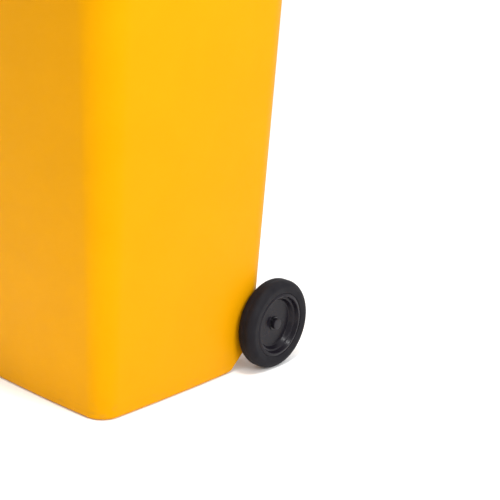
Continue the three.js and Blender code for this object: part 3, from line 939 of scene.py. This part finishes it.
def disc_profile():
    """Hub, web and rim of the disc, with a ridge under the tyre and two steps down into the dish."""
    hub, rim, ridge = 15.5, 72, 75.7
    corners = [
        (BORE, -45, 0.4),
        (hub, -45, 0.8),
        (hub, -24.5, 2.5),
        (65.5, -24.5, 2.5),
        (68, -41, 0.9),
        (71.3, -41, 0.9),
        (rim, -40),
        (rim, -29.5),
        (ridge, -29.5),
        (ridge, -14.5),
        (rim, -14.5),
        (rim, -2.9, 1.0),
        (66.5, -1.5, 2.5),
        (64.5, -1.6, 0.9),
        (61.3, -10.5, 1.5),
        (57.8, -11.2, 1.6),
        (53.0, -20.5, 2.4),
        (hub, -20.5, 0.8),
        (hub, -18.5, 0.5),
        (BORE, -18.5, 0.4),
    ]
    return rounded(in_mm(corners), step=math.radians(12))


def disc_ribs():
    """Webs behind the disc, between the hub and the rim."""
    parts = []
    inner, outer, half = 0.0145, 0.0675, 0.00175
    face = [(inner, -half), (outer, -half), (outer, half), (inner, half)]
    for n in range(WHEEL_RIBS):
        vertices, faces = bevelled_plate(face, -0.0395, -0.0235, 0.0007)
        parts.append((moved(vertices, Matrix.Rotation(2 * math.pi * n / WHEEL_RIBS, 4, "X")), faces))
    return parts


def cap_profile():
    """A cap that covers the axle's end and the washer."""
    inside = [(0, -9.5), (BORE, -9.5), (BORE, -16.4, 0.3)]
    outside = [(12.5, -16.4, 0.4), (12.2, -8.2, 1.2), (0, -8.0)]
    return rounded(in_mm(inside + outside), closed=False)


def sleeve_profile():
    """A spacer tube between the hub and the outer lug."""
    return tube_profile(BORE * MM, 0.014, -0.0652, -0.0453, 0.0005, 0.0008)


def washer_mesh():
    """A dished push-on washer with slots between its teeth, cut in from its bore."""
    teeth, steps_per_tooth, rows_per_side = 8, 8, 7
    segments = teeth * steps_per_tooth
    thickness = 0.0006
    dish = 0.0007
    slot_radius, outer_radius = 0.0118, 0.0143
    back = -0.0180
    rows = []
    for side in (0, 1):
        for share in np.linspace(0, 1, rows_per_side):
            x = back + dish * (1 - share) ** 1.5 + thickness * side
            row = []
            for k in range(segments):
                in_slot = k % steps_per_tooth in (0, steps_per_tooth - 1)
                inner = slot_radius if in_slot else BORE * MM
                radius = inner + (outer_radius - inner) * share
                t = 2 * math.pi * k / segments
                row.append((x, radius * math.cos(t), radius * math.sin(t)))
            rows.append(row)
    rows = rows[:rows_per_side] + rows[rows_per_side:][::-1]
    vertices = [p for row in rows for p in row]
    return vertices, grid_faces(len(rows), segments, wrap_rows=True)


def build_wheels():
    """Both wheels, and what holds them on the axle. Tyres and discs turn; the rest stays with the body."""
    for sign, side in SIDES:
        place = mirrored_place(sign, WHEEL_FACE, AXLE_Y, AXLE_Z)
        wheel = "wheel_" + side

        def put(name, mesh, material, body, node):
            vertices, faces = mesh
            piece = new_piece(f"{name}_{side}", moved(vertices, place), faces, material, body)
            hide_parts(f"{node}_{side}")

        tyre = turned_mesh(tyre_profile(), TURN_FINE)
        disc = joined([turned_mesh(disc_profile(), TURN_FINE), *disc_ribs()])
        cap = turned_mesh(cap_profile(), TURN_MIDDLE)
        sleeve = turned_mesh(sleeve_profile(), TURN_COARSE)
        put("solid_tyre", tyre, tyre_black, wheel, "tyre")
        put("dished_disc", disc, wheel_black, wheel, "wheel_disc")
        put("push_on_cap", cap, fitting_black, "body", "axle_cap")
        put("toothed_washer", washer_mesh(), washer_steel, "body", "retaining_washer")
        put("sleeve", sleeve, fitting_black, "body", "spacer_sleeve")


# ------------------------------------------------------------------ small fittings
def build_axle():
    """A steel bar that ends inside the caps."""
    end = WHEEL_FACE - 0.0098
    profile = [(0, -end), (AXLE_RADIUS, -end, 0.0012), (AXLE_RADIUS, end, 0.0012), (0, end)]
    vertices, faces = turned_mesh(rounded(profile, closed=False), TURN_MIDDLE)
    place = Matrix.Translation((0, AXLE_Y, AXLE_Z))
    piece = new_piece("steel_axle", moved(vertices, place), faces, axle_steel, "body")
    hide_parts("axle")


def pin_profile():
    """A push-in pin: a head with a dimple against the inner arm, a shank, and a tapered tip in the grip.

    Its points are (radius, distance from the middle plane, corner radius) in mm.
    """
    shank, shoulder = 6, 43.7
    corners = [
        (0, 39.2),
        (4, 39.0, 0.8),
        (4.6, 38.7, 0.3),
        (8.6, 38.7, 1.2),
        (9, shoulder, 0.4),
        (shank, shoulder, 0.3),
        (shank, 125, 0.5),
        (4, 128, 0.5),
        (0, 128),
    ]
    return rounded(in_mm(corners), closed=False)


def build_hinge_pins():
    """A pin at each side, through two arms of the frame and the lid's knuckle between them."""
    for sign, side in SIDES:
        vertices, faces = turned_mesh(pin_profile(), TURN_COARSE)
        vertices = moved(vertices, mirrored_place(sign, 0, HINGE_Y, HINGE_Z))
        piece = new_piece(f"snap_pin_{side}", vertices, faces, fitting_black, "body")
        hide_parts(f"hinge_pin_{side}")


def upright_place(node):
    """A place for what is made about the X axis, stood up on the ground plane in line with a CAD node."""
    low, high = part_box(node)
    centre = (low + high) / 2
    return Matrix.Translation((centre.x, centre.y, 0)) @ Matrix.Rotation(-math.pi / 2, 4, "Y")


def buffer_profile():
    """A flat foot on the rim's flange, a stem through the border, and a barbed tip above it."""
    foot, stem, barb = 8, 3.7, 4.6
    corners = [
        (0, 1000.3),
        (foot, 1000.3, 0.8),
        (foot, 1002.1, 0.5),
        (stem, 1002.1, 0.2),
        (stem, 1006.8, 0.2),
        (barb, 1007.2, 0.4),
        (2.4, 1009.0, 0.8),
        (0, 1009.0),
    ]
    return rounded(in_mm(corners), closed=False)


def build_buffers():
    """Rubber plugs in the lid's border."""
    for name in ("front_left", "front_right", "rear_left", "rear_right"):
        node = "lid_buffer_" + name
        vertices, faces = turned_mesh(buffer_profile(), 40)
        vertices = moved(vertices, upright_place(node))
        piece = new_piece("rubber_stop_" + name, vertices, faces, buffer_black, "lid")
        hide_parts(node)


def build_plug():
    """Transponder plug with a blind recess in its visible lower face."""
    node = "transponder_plug"
    low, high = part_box(node)
    bottom, top, radius = low.z, high.z, (high.x - low.x) / 2
    recess = 0.003
    profile = rounded(
        [
            (0, bottom + recess),
            (0.006, bottom + recess, 0.0006),
            (0.0065, bottom, 0.0006),
            (radius, bottom, 0.001),
            (radius, top, 0.001),
            (0, top),
        ],
        closed=False,
    )
    vertices, faces = turned_mesh(profile, TURN_COARSE)
    vertices = moved(vertices, upright_place(node))
    piece = new_piece("chip_plug", vertices, faces, plug_grey, "body")
    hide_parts(node)


# ------------------------------------------------------------------ studio
def softbox(name, place, target, width, height, power, spread=180):
    """A rectangular light that looks at a target. spread is the angle of its beam in degrees."""
    data = bpy.data.lights.new(name, "AREA")
    data.shape = "RECTANGLE"
    data.size, data.size_y = width, height
    data.energy = power
    data.spread = math.radians(spread)
    light = bpy.data.objects.new(name, data)
    bpy.context.scene.collection.objects.link(light)
    light.location = place
    light.rotation_euler = (Vector(target) - Vector(place)).to_track_quat("-Z", "Y").to_euler()


def ceiling_light(power, spread):
    """An even light from above, with very soft shadows."""
    data = bpy.data.lights.new("ceiling", "SUN")
    data.energy = power
    data.angle = math.radians(spread)
    bpy.context.scene.collection.objects.link(bpy.data.objects.new("ceiling", data))


def white_world():
    """White surroundings."""
    world = bpy.data.worlds.new("studio")
    bpy.context.scene.world = world
    world.use_nodes = True
    background = world.node_tree.nodes["Background"]
    background.inputs["Color"].default_value = (1, 1, 1, 1)
    background.inputs["Strength"].default_value = 1.0


def studio_floor():
    """A pale floor that runs out of view."""
    size = 14.0
    corners = [(-size, -size, 0), (size, -size, 0), (size, size, 0), (-size, size, 0)]
    mesh = bpy.data.meshes.new("studio_floor")
    mesh.from_pydata(corners, [], [(0, 1, 2, 3)])
    mesh.materials.append(floor_material())
    floor = bpy.data.objects.new("studio_floor", mesh)
    bpy.context.scene.collection.objects.link(floor)


def build_studio():
    """A white room with a key light from the right, a small light for the wheel's dish, and a narrow beam
    on the floor before the front wall."""
    studio_floor()
    white_world()
    softbox("key", (3.6, -0.55, 2.3), (0, 0, 0.5), 1.8, 1.8, power=80)
    softbox("overhead", (0.85, -0.3, 2.6), (0.25, 0.2, 0.1), 0.4, 0.4, power=30)
    softbox("floor_pool", (-0.1, -0.72, 2.6), (-0.1, -0.719, 0), 1.0, 0.3, power=4, spread=14)
    ceiling_light(power=0.6, spread=80)
    bpy.context.scene.view_settings.view_transform = "Standard"


add_camera()
build_body()
build_lid()
build_wheels()
build_axle()
build_hinge_pins()
build_buffers()
build_plug()
build_studio()
